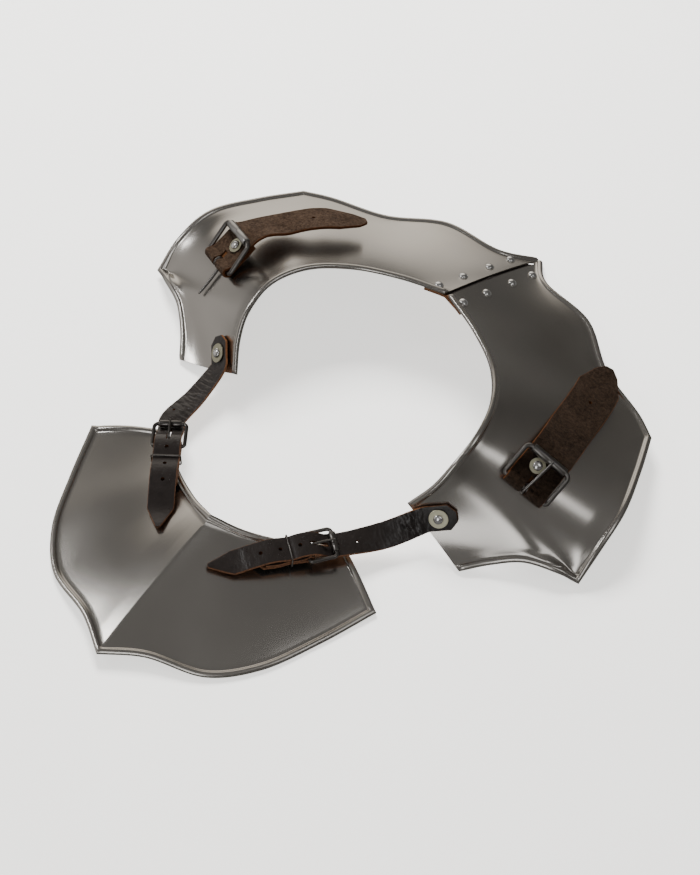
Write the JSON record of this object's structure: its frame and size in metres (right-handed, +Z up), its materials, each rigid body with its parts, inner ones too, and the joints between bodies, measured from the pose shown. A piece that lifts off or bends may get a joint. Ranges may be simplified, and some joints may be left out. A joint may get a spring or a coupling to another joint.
{
  "type": "gorget",
  "caption": "Steel armour collar lying open: hinged back plates, a ridged front plate, buckled neck straps and shoulder straps.",
  "frame": {"origin": "centre of the box round the part, at the height of the surface it lies on", "axes": "+Z up, +Y towards the wearer's back, +X towards the wearer's left"},
  "size_m": [0.3848, 0.439, 0.0683],
  "materials": {
    "plate_steel": "satin polished, with soft reflections",
    "black_leather": "glossy, creased, with brown cut edges",
    "brown_suede": "matt nap",
    "buckle_metal": "dark, polished and worn bright at the edges",
    "rivet_metal": "bright",
    "washer_metal": "pale, satin"
  },
  "bodies": {
    "collar": {"back_plate_left": "plate_steel", "back_plate_right": "plate_steel", "front_plate": "plate_steel", "hinge_leather": "black_leather", "left_seam_rivet_1": "rivet_metal", "left_seam_rivet_2": "rivet_metal", "left_seam_rivet_3": "rivet_metal", "left_seam_rivet_4": "rivet_metal", "right_seam_rivet_1": "rivet_metal", "right_seam_rivet_2": "rivet_metal", "right_seam_rivet_3": "rivet_metal", "right_seam_rivet_4": "rivet_metal", "left_shoulder_strap": "brown_suede", "left_shoulder_washer": "washer_metal", "left_shoulder_rivet": "rivet_metal", "left_neck_buckle_frame": "buckle_metal", "left_neck_buckle_roller": "buckle_metal", "left_neck_buckle_prong": "buckle_metal", "left_neck_buckle_strap": "black_leather", "left_neck_hidden_rivet": "rivet_metal", "left_neck_strap": "black_leather", "left_neck_washer": "washer_metal", "left_neck_rivet": "rivet_metal", "left_neck_keeper": "buckle_metal", "right_shoulder_strap": "brown_suede", "right_shoulder_washer": "washer_metal", "right_shoulder_rivet": "rivet_metal", "right_neck_buckle_frame": "buckle_metal", "right_neck_buckle_roller": "buckle_metal", "right_neck_buckle_prong": "buckle_metal", "right_neck_buckle_strap": "black_leather", "right_neck_hidden_rivet": "rivet_metal", "right_neck_strap": "black_leather", "right_neck_washer": "washer_metal", "right_neck_rivet": "rivet_metal", "right_neck_keeper": "buckle_metal"},
    "left_shoulder_frame": {"left_shoulder_buckle_frame": "buckle_metal"},
    "left_shoulder_roller": {"left_shoulder_buckle_roller": "buckle_metal"},
    "left_shoulder_prong": {"left_shoulder_buckle_prong": "buckle_metal"},
    "right_shoulder_frame": {"right_shoulder_buckle_frame": "buckle_metal"},
    "right_shoulder_roller": {"right_shoulder_buckle_roller": "buckle_metal"},
    "right_shoulder_prong": {"right_shoulder_buckle_prong": "buckle_metal"}
  },
  "joints": [
    {"name": "left_frame_hinge", "type": "hinge", "parent": "collar", "child": "left_shoulder_frame", "pos_m": [0.13446, 0.04003, 0.04628], "axis": [0.9003, 0.1539, -0.4072], "range_deg": [0, 100]},
    {"name": "left_roller_spin", "type": "hinge", "parent": "left_shoulder_frame", "child": "left_shoulder_roller", "pos_m": [0.13723, 0.06002, 0.05996], "axis": [0.9003, 0.1539, -0.4072], "continuous": true},
    {"name": "right_frame_hinge", "type": "hinge", "parent": "collar", "child": "right_shoulder_frame", "pos_m": [-0.14319, 0.04307, 0.0435], "axis": [0.9014, -0.337, 0.2717], "range_deg": [0, 100]},
    {"name": "right_roller_spin", "type": "hinge", "parent": "right_shoulder_frame", "child": "right_shoulder_roller", "pos_m": [-0.14125, 0.06125, 0.05963], "axis": [0.9014, -0.337, 0.2717], "continuous": true},
    {"name": "left_prong_hinge", "type": "hinge", "parent": "left_shoulder_frame", "child": "left_shoulder_prong", "pos_m": [0.13446, 0.04003, 0.04628], "axis": [0.9003, 0.1539, -0.4072], "range_deg": [0, 60]},
    {"name": "right_prong_hinge", "type": "hinge", "parent": "collar", "child": "right_shoulder_prong", "pos_m": [-0.14319, 0.04307, 0.0435], "axis": [0.9014, -0.337, 0.2717], "range_deg": [-160, 0]}
  ]
}
